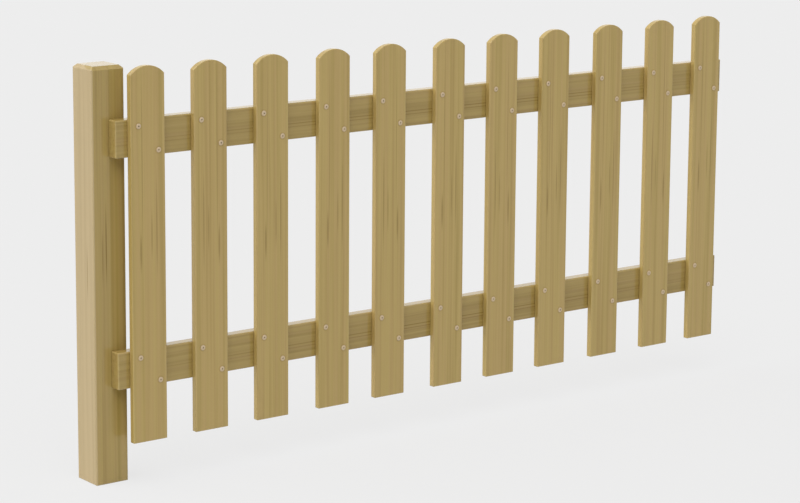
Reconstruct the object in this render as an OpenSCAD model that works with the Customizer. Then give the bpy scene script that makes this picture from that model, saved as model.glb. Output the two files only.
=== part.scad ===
// Playground safety barrier: one bay of a picket fence in pressure-treated softwood.
// A square post carries two rails on its front face, and domed pickets are screwed to the rails.
// Millimetres. X runs along the fence, the pickets face -Y, and Z is up.
// The origin is the centre of the post's foot.

/* [Bay] */
// Length of a bay, from the post's centre to the next post's centre
bay_l = 2000; // [1200:10:3000]
// Number of pickets on the bay
picket_count = 11; // [3:1:16]

/* [Post] */
// Side of the square post
post_w = 90; // [70:1:140]
// Height of the post
post_h = 1032; // [960:1:1500]
// Width of the bevel round the post's top
post_bevel = 9; // [2:0.5:20]
// Radius of the post's long edges
post_round = 4; // [1:0.5:12]

/* [Rails] */
// Height of a rail's section
rail_h = 92; // [60:1:120]
// Thickness of a rail
rail_t = 33; // [20:1:60]
// Height of the bottom rail's lower edge above the post's foot
bottom_rail_z = 241; // [130:1:400]
// Distance between the lower edges of the two rails
rail_rise = 570; // [300:1:640]
// Radius of a rail's long edges
rail_round = 4; // [1:0.5:8]

/* [Pickets] */
// Width of a picket
picket_w = 96; // [60:1:110]
// Thickness of a picket
picket_t = 17; // [12:0.5:30]
// Length of a picket, to the crown of its dome
picket_l = 928; // [840:1:1200]
// Height of a picket's lower end above the post's foot
picket_z = 105; // [20:1:120]
// Rise of the dome above the picket's shoulders
dome_rise = 21; // [8:0.5:29]
// Radius of a picket's edges
picket_round = 2.5; // [0.5:0.5:5]
// Bare end of the rails in front of the post, before the first picket
near_end = 32; // [5:1:80]
// Bare end of the rails past the last picket
far_end = 22; // [5:1:80]

/* [Sawn ends] */
// Radius of the sanded edges round the post's foot, the rails' ends and the pickets' feet
end_round = 3; // [0.5:0.5:5]

/* [Hidden] */
// Facets asked of a full circle
$fn = 48;
// How far a cutting block reaches past what it trims
past = 10;

// Front face of the post, which the rails bear on
post_front_y = -post_w / 2;
// Front faces of the rails, which the pickets bear on
rail_front_y = post_front_y - rail_t;
top_rail_z = bottom_rail_z + rail_rise;

// Radius of the arc that crosses a picket's width with that rise
dome_r = (picket_w * picket_w / 4 + dome_rise * dome_rise) / (2 * dome_rise);

// The pickets are set out by eye: each one's step off the even spacing
picket_steps = [0, -6, -8, -3, -9, 0, -5, -8, 0, 7, 0];
picket_pitch = (bay_l - near_end - far_end - picket_w) / (picket_count - 1);
function picket_step(i) = i < len(picket_steps) ? picket_steps[i] : 0;
function picket_x(i) = near_end + i * picket_pitch + picket_step(i);
function picket_name(i) = str("picket_", i < 9 ? "0" : "", i + 1);

// A rectangle with its corner at the origin and its corners rounded
module eased_rectangle(width, depth, round) {
    translate([round, 0]) square([width - 2 * round, depth]);
    translate([0, round]) square([width, depth - 2 * round]);
    for (x = [round, width - round], y = [round, depth - round])
        translate([x, y]) circle(r = round);
}

// The side view of an upright board whose two foot corners are rounded and whose head runs on
module eased_foot(width, height) {
    translate([end_round, 0]) square([width - 2 * end_round, height]);
    translate([0, end_round]) square([width, height - end_round]);
    for (x = [end_round, width - end_round])
        translate([x, end_round]) circle(r = end_round);
}

// The side view of the post, with its top corners cut at 45 degrees
module post_side() {
    shoulder_z = post_h - post_bevel;
    translate([-post_w / 2, 0]) eased_foot(post_w, shoulder_z);
    polygon([
        [-post_w / 2, shoulder_z - past],
        [post_w / 2, shoulder_z - past],
        [post_w / 2, shoulder_z],
        [post_w / 2 - post_bevel, post_h],
        [post_bevel - post_w / 2, post_h],
        [-post_w / 2, shoulder_z]
    ]);
}

// The post: planed square, its long edges eased and its top bevelled on all four sides
module post() {
    color([0.66, 0.56, 0.35])
    intersection() {
        translate([-post_w / 2, -post_w / 2, 0])
            linear_extrude(post_h) eased_rectangle(post_w, post_w, post_round);
        rotate([90, 0, 0])
            linear_extrude(post_w + 2 * past, center = true) post_side();
        rotate([90, 0, 90])
            linear_extrude(post_w + 2 * past, center = true) post_side();
    }
}

// A rail: planed, its four long edges eased, its ends sawn square and sanded
module rail(low_z) {
    color([0.60, 0.51, 0.31])
    translate([0, rail_front_y, low_z])
        intersection() {
            rotate([90, 0, 90])
                linear_extrude(bay_l) eased_rectangle(rail_t, rail_h, rail_round);
            translate([0, 0, -past])
                linear_extrude(rail_h + 2 * past) eased_rectangle(bay_l, rail_t, end_round);
            translate([0, rail_t + past, 0])
                rotate([90, 0, 0])
                    linear_extrude(rail_t + 2 * past) eased_rectangle(bay_l, rail_h, end_round);
        }
}

// The round end of a picket: a disc as thick as the picket, its rim eased like the picket's edges
module dome_disc() {
    rotate([-90, 0, 0])
        rotate_extrude()
            intersection() {
                translate([-dome_r, 0]) eased_rectangle(2 * dome_r, picket_t, picket_round);
                square([dome_r + past, picket_t]);
            }
}

// A picket: planed, its edges eased, its foot sawn square and sanded, its head cut to a low dome
module picket(i) {
    dome_centre_z = picket_l - dome_r;
    color([0.66, 0.57, 0.36])
    translate([picket_x(i), rail_front_y - picket_t, picket_z])
        intersection() {
            linear_extrude(picket_l) eased_rectangle(picket_w, picket_t, picket_round);
            translate([0, picket_t + past, 0])
                rotate([90, 0, 0])
                    linear_extrude(picket_t + 2 * past) eased_foot(picket_w, picket_l + past);
            translate([-past, 0, 0])
                rotate([90, 0, 90])
                    linear_extrude(picket_w + 2 * past) eased_foot(picket_t, picket_l + past);
            union() {
                cube([picket_w, picket_t, dome_centre_z]);
                translate([picket_w / 2, 0, dome_centre_z]) dome_disc();
            }
        }
}

post();
rail(top_rail_z);  // top_rail
rail(bottom_rail_z);  // bottom_rail
for (i = [0 : picket_count - 1])
    picket(i);
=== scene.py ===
import math
import random

import bpy
from mathutils import Euler, Matrix, Vector


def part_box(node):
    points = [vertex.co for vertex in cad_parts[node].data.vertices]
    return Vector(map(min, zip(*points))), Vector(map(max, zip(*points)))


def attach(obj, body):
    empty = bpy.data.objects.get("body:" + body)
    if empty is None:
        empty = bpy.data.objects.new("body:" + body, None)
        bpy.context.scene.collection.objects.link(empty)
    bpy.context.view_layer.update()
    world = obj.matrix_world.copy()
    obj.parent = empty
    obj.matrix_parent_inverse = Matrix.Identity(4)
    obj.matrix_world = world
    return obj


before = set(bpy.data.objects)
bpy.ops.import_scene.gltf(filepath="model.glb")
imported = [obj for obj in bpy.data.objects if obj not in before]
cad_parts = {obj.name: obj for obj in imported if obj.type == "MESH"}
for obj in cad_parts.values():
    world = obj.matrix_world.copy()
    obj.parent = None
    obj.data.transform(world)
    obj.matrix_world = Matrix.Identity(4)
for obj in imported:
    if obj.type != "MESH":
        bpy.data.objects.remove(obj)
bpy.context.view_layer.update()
bpy.ops.object.select_all(action="DESELECT")

# ---------------------------------------------------------------- Camera
# The fence is seen from the front left, a little from above, through a long lens.
# The lens is shifted down a little, which keeps the uprights close to parallel.
CAMERA_PLACE = Vector((-3.088, -5.253, 1.844))
CAMERA_YAW = 0.6509
CAMERA_PITCH = -0.1686
CAMERA_ROLL = 0.0070
LENS_LENGTH = 114.46
SENSOR_WIDTH = 36.0
LENS_SHIFT = -0.12
SIGHT_RANGE = 300.0

camera_data = bpy.data.cameras.new("camera")
camera_data.lens = LENS_LENGTH
camera_data.sensor_width = SENSOR_WIDTH
camera_data.shift_y = LENS_SHIFT
camera_data.clip_end = SIGHT_RANGE
camera = bpy.data.objects.new("camera", camera_data)
bpy.context.scene.collection.objects.link(camera)
aim = Euler((math.pi / 2 + CAMERA_PITCH, 0.0, -CAMERA_YAW)).to_matrix().to_4x4()
tilt = Matrix.Rotation(CAMERA_ROLL, 4, "Z")
camera.matrix_world = Matrix.Translation(CAMERA_PLACE) @ aim @ tilt
bpy.context.scene.camera = camera

# ---------------------------------------------------------------- Studio floor and light
# A wide pale floor runs out into a backdrop of its own colour, under a soft sky. Broad lamps
# stand high in front, high on the left and behind on the left. A low one behind on the right
# gives the top faces their sheen.
BACKDROP = (0.846, 0.846, 0.846, 1.0)
FLOOR_SIZE = 240.0
FLOOR_COLOUR = (0.74, 0.74, 0.74, 1.0)
# How much of the floor's own light and shade is let into the backdrop colour
SHADOW_SHARE = 0.12
SKY_STRENGTH = 0.30
LAMPS = {
    "key_lamp": {"strength": 2.00, "spread": 60.0, "from": (-0.30, -0.35, 0.90)},
    "left_lamp": {"strength": 0.30, "spread": 60.0, "from": (-0.60, 0.00, 0.80)},
    "back_lamp": {"strength": 1.45, "spread": 60.0, "from": (-0.65, 0.60, 0.45)},
    "sheen_lamp": {"strength": 0.13, "spread": 40.0, "from": (0.50, 0.85, 0.20)},
}


def add_node(tree, kind, settings, sockets):
    """Adds a shader node, sets it up, and sets or links each of its inputs."""
    node = tree.nodes.new("ShaderNode" + kind)
    for key, value in settings.items():
        setattr(node, key, value)
    for key, value in sockets.items():
        if isinstance(value, bpy.types.NodeSocket):
            tree.links.new(value, node.inputs[key])
        else:
            node.inputs[key].default_value = value
    return node


def math_value(tree, operation, first, second=0.0, third=0.0):
    sockets = {0: first, 1: second, 2: third}
    return add_node(tree, "Math", {"operation": operation}, sockets).outputs["Value"]


def show_backdrop(tree, output, lit, plain, share):
    """Lets the camera and reflections see the plain backdrop, and other rays the lit one."""
    rays = add_node(tree, "LightPath", {}, {}).outputs
    seen = math_value(tree, "MAXIMUM", rays["Is Camera Ray"], rays["Is Glossy Ray"])
    seen = math_value(tree, "MAXIMUM", seen, rays["Is Transmission Ray"])
    seen = math_value(tree, "MULTIPLY", seen, share)
    pick = add_node(tree, "MixShader", {}, {0: seen, 1: lit, 2: plain})
    tree.links.new(pick.outputs["Shader"], tree.nodes[output].inputs["Surface"])


bpy.ops.mesh.primitive_plane_add(size=FLOOR_SIZE, location=(0, 0, 0))
floor = bpy.context.object
floor.name = "studio_floor"
floor_paint = bpy.data.materials.new("studio_floor")
floor_paint.use_nodes = True
tree = floor_paint.node_tree
lit = tree.nodes["Principled BSDF"]
lit.inputs["Base Color"].default_value = FLOOR_COLOUR
lit.inputs["Roughness"].default_value = 1.0
lit.inputs["Specular IOR Level"].default_value = 0.0
plain = add_node(tree, "Emission", {}, {"Color": BACKDROP})
show_backdrop(
    tree, "Material Output", lit.outputs["BSDF"], plain.outputs["Emission"], 1.0 - SHADOW_SHARE
)
floor.data.materials.append(floor_paint)

sky = bpy.data.worlds.new("studio_sky")
sky.use_nodes = True
bpy.context.scene.world = sky
tree = sky.node_tree
lit = tree.nodes["Background"]
lit.inputs["Color"].default_value = (1.0, 1.0, 1.0, 1.0)
lit.inputs["Strength"].default_value = SKY_STRENGTH
plain = add_node(tree, "Background", {}, {"Color": BACKDROP})
show_backdrop(tree, "World Output", lit.outputs["Background"], plain.outputs["Background"], 1.0)

for name, lamp in LAMPS.items():
    lamp_data = bpy.data.lights.new(name, "SUN")
    lamp_data.energy = lamp["strength"]
    lamp_data.angle = math.radians(lamp["spread"])
    lamp_object = bpy.data.objects.new(name, lamp_data)
    bpy.context.scene.collection.objects.link(lamp_object)
    lamp_object.rotation_euler = Vector(lamp["from"]).to_track_quat("Z", "Y").to_euler()

bpy.context.scene.view_settings.view_transform = "Standard"

# ---------------------------------------------------------------- Post
# A square post of planed, pressure-treated pine, its edges eased and its top bevelled round.
# Its growth rings run round a pith near the front right edge, with paler sapwood on the far
# sides. The sapwood's edge is set on the left arris, so that it also paints the lit left face
# paler and whiter as painted sheen. Dark streaks and flecks run along the grain, and the planed
# faces have a smooth gloss.
POST_WOOD = {
    "pale": (0.442, 0.327, 0.106, 1.0),
    "dark": (0.215, 0.140, 0.018, 1.0),
    "flush": (0.440, 0.317, 0.110, 1.0),
    "ring_gap": 0.0065,
    # The pith is set so that the sapwood's edge falls on the left arris, and the lit left face
    # takes its painted sheen
    "pith": (0.030, -0.030, 0.0),
    "sapwood_and_sheen": (0.0715, 0.0745),
    "seed": 2.0,
    "arris_highlight": 0.40,
}
# Each fleck: its centre from the middle of the post, its half size and its strength. Z lies
# along the grain.
POST_FLECKS = [
    ((-0.010, -0.045, 0.080), (0.0026, 0.006, 0.130), 0.9),
    ((-0.020, -0.045, 0.050), (0.0022, 0.006, 0.090), 0.6),
    ((-0.045, -0.014, 0.010), (0.0060, 0.0026, 0.090), 0.6),
]
# The dark of the flecks, also used for the painted shade round the screws
FLECK_AND_SHADE_COLOUR = (0.215, 0.132, 0.020, 1.0)
# Paler and whiter than the heartwood. On the post's lit left face this is also painted sheen
SAPWOOD_AND_SHEEN_COLOUR = (0.490, 0.372, 0.192, 1.0)
# How much weaker the dark markings are in the sapwood, and so under the painted sheen of the
# post's left face
SAPWOOD_AND_SHEEN_CALM = 0.4
# Painted highlight: the edges are painted paler, where light catches them, this far in
ARRIS_HIGHLIGHT_COLOUR = (0.560, 0.450, 0.240, 1.0)
ARRIS_HIGHLIGHT_REACH = 0.0045
# The grain sways off its line by about this much
SWAY = (0.014, 0.014, 0.0)
# How many of each marking there are to the metre, twice across the grain and then along it
SWAY_SCALE = (5.0, 5.0, 0.9)
STREAK_SCALE = (95.0, 95.0, 1.0)
FIBRE_SCALE = (520.0, 520.0, 6.0)
BLUSH_SCALE = (85.0, 85.0, 0.6)
# The part of the noise over which a streak or a blush comes in
STREAK_BAND = (0.42, 0.72)
BLUSH_BAND = (0.40, 0.62)
# How dark each marking is
RING_DARKNESS = 0.07
STREAK_DARKNESS = 0.30
FIBRE_DARKNESS = 0.14
# A ring darkens slowly to its outer side, as late wood does, and ends at once
RING_GROWTH = 1.8
RING_END = 0.85
WOOD_ROUGHNESS = 0.12
FIBRE_ROUGHNESS = 0.10
# How far the rings stand up beside the fibres, and the relief of both
RING_RELIEF = 0.5
RELIEF_STRENGTH = 0.15
RELIEF_HEIGHT = 0.0006
# Each fleck, and each ring of painted shade round a screw, is full inside this share of its
# reach and fades out from there
SPOT_CORE = 0.25


def start_group(name, inputs, outputs):
    group = bpy.data.node_groups.new(name, "ShaderNodeTree")
    for direction, sockets in (("INPUT", inputs), ("OUTPUT", outputs)):
        for socket, kind in sockets.items():
            kind = "NodeSocket" + kind
            group.interface.new_socket(socket, in_out=direction, socket_type=kind)
    given = group.nodes.new("NodeGroupInput").outputs
    return group, given, group.nodes.new("NodeGroupOutput").inputs


def vector_math(tree, operation, first, second):
    node = add_node(tree, "VectorMath", {"operation": operation}, {0: first, 1: second})
    return node.outputs["Vector"]


def vector_length(tree, vector):
    return add_node(tree, "VectorMath", {"operation": "LENGTH"}, {0: vector}).outputs["Value"]


def grain_noise(tree, place, scale, seed, seed_step, detail):
    """Makes drawn-out noise. Each seed step gives a marking of its own to the same piece."""
    sockets = {
        "Vector": vector_math(tree, "MULTIPLY", place, scale),
        "W": math_value(tree, "ADD", seed, seed_step),
        "Scale": 1.0,
        "Detail": detail,
        "Roughness": 0.55,
    }
    return add_node(tree, "TexNoise", {"noise_dimensions": "4D"}, sockets).outputs


def mix_colour(tree, share, first, second):
    return add_node(tree, "MixRGB", {}, {0: share, 1: first, 2: second}).outputs["Color"]


def ramp(tree, value, low, high):
    """Spreads a value that lies between low and high over 0 to 1, with soft ends."""
    settings = {"interpolation_type": "SMOOTHSTEP"}
    sockets = {"Value": value, "From Min": low, "From Max": high}
    return add_node(tree, "MapRange", settings, sockets).outputs["Result"]


# Treated pine: Place is the point in the piece, with the grain along Z
pine, given, result = start_group(
    "treated_pine",
    {
        "Place": "Vector",
        "Seed": "Float",
        "Pith": "Vector",
        "Ring Gap": "Float",
        "Sapwood And Sheen Start": "Float",
        "Sapwood And Sheen End": "Float",
        "Pale": "Color",
        "Dark": "Color",
        "Flush": "Color",
    },
    {"Color": "Color", "Roughness": "Float", "Height": "Float"},
)
seed = given["Seed"]
sway = grain_noise(pine, given["Place"], SWAY_SCALE, seed, seed_step=0.0, detail=1.0)["Color"]
sway = vector_math(pine, "SUBTRACT", sway, (0.5, 0.5, 0.5))
wavy = vector_math(pine, "ADD", given["Place"], vector_math(pine, "MULTIPLY", sway, SWAY))


def reach_from_pith(place):
    reach = vector_math(pine, "SUBTRACT", place, given["Pith"])
    return vector_length(pine, vector_math(pine, "MULTIPLY", reach, (1.0, 1.0, 0.0)))


ring = math_value(pine, "DIVIDE", reach_from_pith(wavy), given["Ring Gap"])
ring = math_value(pine, "FRACT", ring)
ring_end = ramp(pine, ring, 1.0, RING_END)
ring = math_value(pine, "MULTIPLY", math_value(pine, "POWER", ring, RING_GROWTH), ring_end)
streaks = grain_noise(pine, wavy, STREAK_SCALE, seed, seed_step=7.0, detail=2.0)["Fac"]
streaks = ramp(pine, streaks, *STREAK_BAND)
fibres = grain_noise(pine, wavy, FIBRE_SCALE, seed, seed_step=3.0, detail=3.0)["Fac"]
blush = grain_noise(pine, wavy, BLUSH_SCALE, seed, seed_step=13.0, detail=1.0)["Fac"]
blush = ramp(pine, blush, *BLUSH_BAND)

# The sapwood share, which on the post's lit left face is also painted sheen
sapwood_and_sheen = reach_from_pith(given["Place"])
sapwood_and_sheen = ramp(pine, sapwood_and_sheen, given["Sapwood And Sheen Start"], given["Sapwood And Sheen End"])
darkness = math_value(pine, "MULTIPLY", ring, RING_DARKNESS)
darkness = math_value(pine, "MULTIPLY_ADD", streaks, STREAK_DARKNESS, darkness)
darkness = math_value(pine, "MULTIPLY_ADD", fibres, FIBRE_DARKNESS, darkness)
calm = math_value(pine, "MULTIPLY_ADD", sapwood_and_sheen, -SAPWOOD_AND_SHEEN_CALM, 1.0)
darkness = math_value(pine, "MULTIPLY", darkness, calm)
colour = mix_colour(pine, blush, given["Pale"], given["Flush"])
colour = mix_colour(pine, sapwood_and_sheen, colour, SAPWOOD_AND_SHEEN_COLOUR)
colour = mix_colour(pine, darkness, colour, given["Dark"])
roughness = math_value(pine, "MULTIPLY_ADD", fibres, FIBRE_ROUGHNESS, WOOD_ROUGHNESS)
height = math_value(pine, "MULTIPLY_ADD", ring, RING_RELIEF, fibres)
pine.links.new(colour, result["Color"])
pine.links.new(roughness, result["Roughness"])
pine.links.new(height, result["Height"])

# A short dark spot, pointed at both ends. It makes a fleck in the grain, and also the painted
# shade round each screw
fleck_and_shade, given, result = start_group(
    "fleck_and_shade_spot",
    {"Place": "Vector", "Centre": "Vector", "Half Size": "Vector", "Strength": "Float"},
    {"Mask": "Float"},
)
reach = vector_math(fleck_and_shade, "SUBTRACT", given["Place"], given["Centre"])
reach = vector_length(fleck_and_shade, vector_math(fleck_and_shade, "DIVIDE", reach, given["Half Size"]))
inside = ramp(fleck_and_shade, reach, 1.0, SPOT_CORE)
fleck_and_shade.links.new(math_value(fleck_and_shade, "MULTIPLY", inside, given["Strength"]), result["Mask"])

# Painted highlight on the arrises of a squared timber: 1 on an edge, 0 from a little way in
arris_highlight, given, result = start_group(
    "painted_edge_highlight",
    {"Place": "Vector", "Half Size": "Vector", "Reach": "Float"},
    {"Mask": "Float"},
)
depth = add_node(arris_highlight, "VectorMath", {"operation": "ABSOLUTE"}, {0: given["Place"]})
depth = vector_math(arris_highlight, "SUBTRACT", given["Half Size"], depth.outputs["Vector"])
depths = add_node(arris_highlight, "SeparateXYZ", {}, {0: depth}).outputs
near = []
for axis in "XYZ":
    share = math_value(arris_highlight, "DIVIDE", depths[axis], given["Reach"])
    near.append(ramp(arris_highlight, share, 1.0, 0.0))
edge = math_value(arris_highlight, "MULTIPLY", near[0], near[1])
edge = math_value(arris_highlight, "MULTIPLY_ADD", near[0], near[2], edge)
edge = math_value(arris_highlight, "MULTIPLY_ADD", near[1], near[2], edge)
arris_highlight.links.new(math_value(arris_highlight, "MINIMUM", edge, 1.0), result["Mask"])


def pine_material(name, wood, low, high, grain_along_x, flecks_and_shade):
    """Makes a board's wood, centred on the board and turned to its grain."""
    material = bpy.data.materials.new(name)
    material.use_nodes = True
    tree = material.node_tree
    half_size = (high - low) / 2
    if grain_along_x:
        half_size = half_size.zyx
    turn = (0.0, math.pi / 2 if grain_along_x else 0.0, 0.0)
    place = add_node(tree, "TexCoord", {}, {}).outputs["Object"]
    place = add_node(
        tree,
        "Mapping",
        {"vector_type": "TEXTURE"},
        {"Vector": place, "Location": (low + high) / 2, "Rotation": turn},
    ).outputs["Vector"]
    body = add_node(
        tree,
        "Group",
        {"node_tree": pine},
        {
            "Place": place,
            "Seed": wood["seed"],
            "Pith": wood["pith"],
            "Ring Gap": wood["ring_gap"],
            "Sapwood And Sheen Start": wood["sapwood_and_sheen"][0],
            "Sapwood And Sheen End": wood["sapwood_and_sheen"][1],
            "Pale": wood["pale"],
            "Dark": wood["dark"],
            "Flush": wood["flush"],
        },
    ).outputs
    edge_highlight = add_node(
        tree,
        "Group",
        {"node_tree": arris_highlight},
        {"Place": place, "Half Size": half_size, "Reach": ARRIS_HIGHLIGHT_REACH},
    ).outputs["Mask"]
    # The edges are painted paler here, as a painted highlight
    edge_highlight = math_value(tree, "MULTIPLY", edge_highlight, wood["arris_highlight"])
    colour = mix_colour(tree, edge_highlight, body["Color"], ARRIS_HIGHLIGHT_COLOUR)
    for centre, spot_size, strength in flecks_and_shade:
        mask = add_node(
            tree,
            "Group",
            {"node_tree": fleck_and_shade},
            {"Place": place, "Centre": centre, "Half Size": spot_size, "Strength": strength},
        ).outputs["Mask"]
        colour = mix_colour(tree, mask, colour, FLECK_AND_SHADE_COLOUR)
    relief = add_node(
        tree,
        "Bump",
        {},
        {"Strength": RELIEF_STRENGTH, "Distance": RELIEF_HEIGHT, "Height": body["Height"]},
    ).outputs["Normal"]
    shader = tree.nodes["Principled BSDF"]
    tree.links.new(colour, shader.inputs["Base Color"])
    tree.links.new(body["Roughness"], shader.inputs["Roughness"])
    tree.links.new(relief, shader.inputs["Normal"])
    return material


def dress(node_name, wood, grain_along_x, flecks_and_shade):
    """Gives a timber of the frame its own wood."""
    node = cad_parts[node_name]
    node.data.materials.clear()
    node.data.materials.append(
        pine_material(node_name + "_pine", wood, *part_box(node_name), grain_along_x, flecks_and_shade)
    )


dress("post", POST_WOOD, False, POST_FLECKS)

# ---------------------------------------------------------------- Rails
# Two planed boards on edge, fixed to the post's front face at one end. They are the same pine
# as the post, a shade darker from more heartwood, with the grain lying along the fence.
RAIL_SEEDS = {"top_rail": 21.0, "bottom_rail": 33.0}
# The sapwood starts past the edges of a board that has none
NO_SAPWOOD = (0.30, 0.40)
RAIL_WOOD = {
    "pale": (0.428, 0.312, 0.100, 1.0),
    "dark": (0.185, 0.115, 0.012, 1.0),
    "flush": (0.424, 0.300, 0.104, 1.0),
    "sapwood_and_sheen": NO_SAPWOOD,
    "ring_gap": 0.0070,
    "pith": (0.085, 0.040, 0.0),
    "arris_highlight": 0.22,
}
# Two thin dark lines in a broad faint one run the whole length of a rail, a little below its
# middle. In these values X points down the rail's face and Z along it.
RAIL_LINES = [
    ((0.006, -0.0165, 0.0), (0.0022, 0.006, 1.3), 0.7),
    ((0.014, -0.0165, 0.1), (0.0022, 0.006, 1.2), 0.6),
    ((0.008, -0.0165, 0.0), (0.0240, 0.006, 2.0), 0.14),
]
for rail_name, rail_seed in RAIL_SEEDS.items():
    dress(rail_name, dict(RAIL_WOOD, seed=rail_seed), True, RAIL_LINES)

# ---------------------------------------------------------------- Pickets
# Thin planed boards with low round heads, sawn from the same treated pine and screwed to the
# rails. Each has its own grain, with the same four dark flecks a little shifted in each board.
PICKET_WOOD = {
    "pale": (0.496, 0.365, 0.122, 1.0),
    "dark": (0.245, 0.155, 0.018, 1.0),
    "flush": (0.494, 0.351, 0.126, 1.0),
    "sapwood_and_sheen": NO_SAPWOOD,
    "ring_gap": 0.0075,
    "arris_highlight": 0.12,
}
PICKET_FLECKS = [
    ((-0.022, -0.0085, 0.000), (0.0040, 0.006, 0.064), 0.54),
    ((0.023, -0.0085, 0.062), (0.0030, 0.006, 0.160), 0.50),
    ((0.009, -0.0085, 0.042), (0.0030, 0.006, 0.076), 0.42),
    ((-0.017, -0.0085, 0.230), (0.0022, 0.006, 0.300), 0.4),
]
FLECK_SCATTER = (0.002, 0.0, 0.010)
# These boards were turned end for end when they were sawn, so their flecks are mirrored
TURNED_PICKETS = (2, 5, 7, 10)
# The pith of the log lay to one side of each board and behind it
PITH_ASIDE = 0.075
PITH_BEHIND = 0.040
PITH_SCATTER = 0.020
# Each board's grain is made from a seed of its own
FIRST_SEED = 50.0
SEED_STEP = 3.0
SCATTER_SEED = 11

# Two screws hold a picket to each rail, one near each of the rail's edges. The wood round each
# of them is darkened with painted shade.
NEAR_EDGE_GAP = 0.0215
FAR_EDGE_GAP = 0.0185
RAIL_EDGE_GAP = 0.0150
SCREW_SHADE_SIZE = (0.0115, 0.006, 0.0115)
SCREW_SHADE_STRENGTH = 0.55


def screw_seats(picket_name):
    """Gives the place of each of a picket's four screws on its front face, by name."""
    picket_low, picket_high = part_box(picket_name)
    seats = {}
    for rail_name in ("top_rail", "bottom_rail"):
        rail_low, rail_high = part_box(rail_name)
        upper = (picket_low.x + NEAR_EDGE_GAP, picket_low.y, rail_high.z - RAIL_EDGE_GAP)
        lower = (picket_high.x - FAR_EDGE_GAP, picket_low.y, rail_low.z + RAIL_EDGE_GAP)
        seats[rail_name + "_upper"] = Vector(upper)
        seats[rail_name + "_lower"] = Vector(lower)
    return seats


scatter = random.Random(SCATTER_SEED)
picket_names = sorted(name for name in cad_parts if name.startswith("picket_"))
for number, picket_name in enumerate(picket_names, start=1):
    shift = Vector(scatter.uniform(-1, 1) * step for step in FLECK_SCATTER)
    aside = scatter.choice((-1, 1)) * PITH_ASIDE + scatter.uniform(-1, 1) * PITH_SCATTER
    seed = FIRST_SEED + SEED_STEP * number
    wood = dict(PICKET_WOOD, seed=seed, pith=(aside, PITH_BEHIND, 0.0))
    mirror = -1 if number in TURNED_PICKETS else 1
    marks = []
    for centre, spot_size, strength in PICKET_FLECKS:
        marks.append((Vector((mirror * centre[0], *centre[1:])) + shift, spot_size, strength))
    picket_low, picket_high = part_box(picket_name)
    # Each screw seat gets a ring of painted shade, drawn like a fleck
    for seat in screw_seats(picket_name).values():
        marks.append((seat - (picket_low + picket_high) / 2, SCREW_SHADE_SIZE, SCREW_SHADE_STRENGTH))
    dress(picket_name, wood, False, marks)

# ---------------------------------------------------------------- Screws
# Wood screws in pale yellow zinc plate, with low round heads and a deep round recess, driven
# through the pickets into the rails at the seats set out above. One is modelled and copied.
HEAD_RADIUS = 0.0066
HEAD_RIM = 0.0010
CROWN_RISE = 0.0012
CROWN_STEP = 0.0016
# The share of the crown's rise that its steep outer step takes
STEP_SHARE = 0.7
RECESS_RADIUS = 0.0019
RECESS_DEPTH = 0.0016
RECESS_LIP = 0.0001
HEAD_SIDES = 24
CREASE_ANGLE = 35.0
# The plate shines dully, and the recess is painted near black as painted shade
SCREW_PLATE_AND_SHADE = {
    "zinc_plate": {
        "scale": 700.0,
        "low": (0.53, 0.42, 0.27, 1.0),
        "high": (0.70, 0.55, 0.37, 1.0),
        "roughness": 0.28,
        "metallic": 0.85,
    },
    "recess_painted_shade": {
        "scale": 900.0,
        "low": (0.080, 0.062, 0.040, 1.0),
        "high": (0.160, 0.125, 0.080, 1.0),
        "roughness": 0.60,
        "metallic": 0.0,
    },
}
MOTTLE_ROUGHNESS = 0.2

bpy.ops.object.select_all(action="DESELECT")
bpy.ops.mesh.primitive_cylinder_add(
    vertices=HEAD_SIDES,
    radius=HEAD_RADIUS,
    depth=HEAD_RIM,
    location=(0, -HEAD_RIM / 2, 0),
    rotation=(math.pi / 2, 0, 0),
)
first_screw = bpy.context.object
bpy.ops.object.transform_apply(location=True, rotation=True, scale=True)

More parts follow.
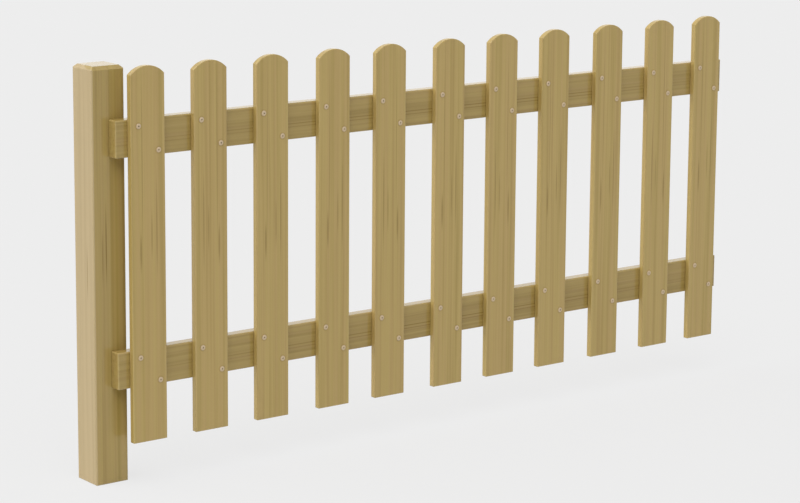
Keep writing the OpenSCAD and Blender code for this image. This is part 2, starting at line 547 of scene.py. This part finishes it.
# The foremost flat face is stepped in twice to a low crown, and then sunk to make the recess
bpy.ops.object.mode_set(mode="EDIT")
bpy.ops.mesh.select_mode(type="FACE")
bpy.ops.mesh.select_all(action="DESELECT")
bpy.ops.object.mode_set(mode="OBJECT")
foremost = min(first_screw.data.polygons, key=lambda face: face.center.y)
foremost.select = True
bpy.ops.object.mode_set(mode="EDIT")
bpy.ops.mesh.inset(thickness=CROWN_STEP, depth=CROWN_RISE * STEP_SHARE)
bpy.ops.mesh.inset(
    thickness=HEAD_RADIUS - CROWN_STEP - RECESS_RADIUS, depth=CROWN_RISE * (1.0 - STEP_SHARE)
)
bpy.ops.mesh.inset(thickness=RECESS_LIP, depth=-RECESS_LIP)
bpy.ops.mesh.extrude_region_move(TRANSFORM_OT_translate={"value": (0, RECESS_DEPTH, 0)})
bpy.ops.object.mode_set(mode="OBJECT")
# The recess's faces take the painted shade
for face in first_screw.data.polygons:
    if face.center.xz.length < RECESS_RADIUS and face.center.y > -HEAD_RIM:
        face.material_index = 1


def mottled_material(name, surface_look):
    """Makes a surface that is mottled between two colours, and rougher where it is paler."""
    material = bpy.data.materials.new(name)
    material.use_nodes = True
    tree = material.node_tree
    shader = tree.nodes["Principled BSDF"]
    place = add_node(tree, "TexCoord", {}, {}).outputs["Object"]
    sockets = {"Vector": place, "Scale": surface_look["scale"], "Detail": 2.0}
    mottle = add_node(tree, "TexNoise", {}, sockets).outputs["Fac"]
    colour = mix_colour(tree, mottle, surface_look["low"], surface_look["high"])
    roughness = math_value(tree, "MULTIPLY_ADD", mottle, MOTTLE_ROUGHNESS, surface_look["roughness"])
    tree.links.new(colour, shader.inputs["Base Color"])
    tree.links.new(roughness, shader.inputs["Roughness"])
    shader.inputs["Metallic"].default_value = surface_look["metallic"]
    return material


for name, surface_look in SCREW_PLATE_AND_SHADE.items():
    first_screw.data.materials.append(mottled_material(name, surface_look))
bpy.ops.object.shade_smooth_by_angle(angle=math.radians(CREASE_ANGLE))

for picket_name in picket_names:
    for seat_name, seat in screw_seats(picket_name).items():
        screw = first_screw.copy()
        screw.data = first_screw.data.copy()
        screw.name = "_".join((picket_name, seat_name, "screw"))
        bpy.context.scene.collection.objects.link(screw)
        screw.data.transform(Matrix.Translation(seat))
        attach(screw, "root")
bpy.data.objects.remove(first_screw)
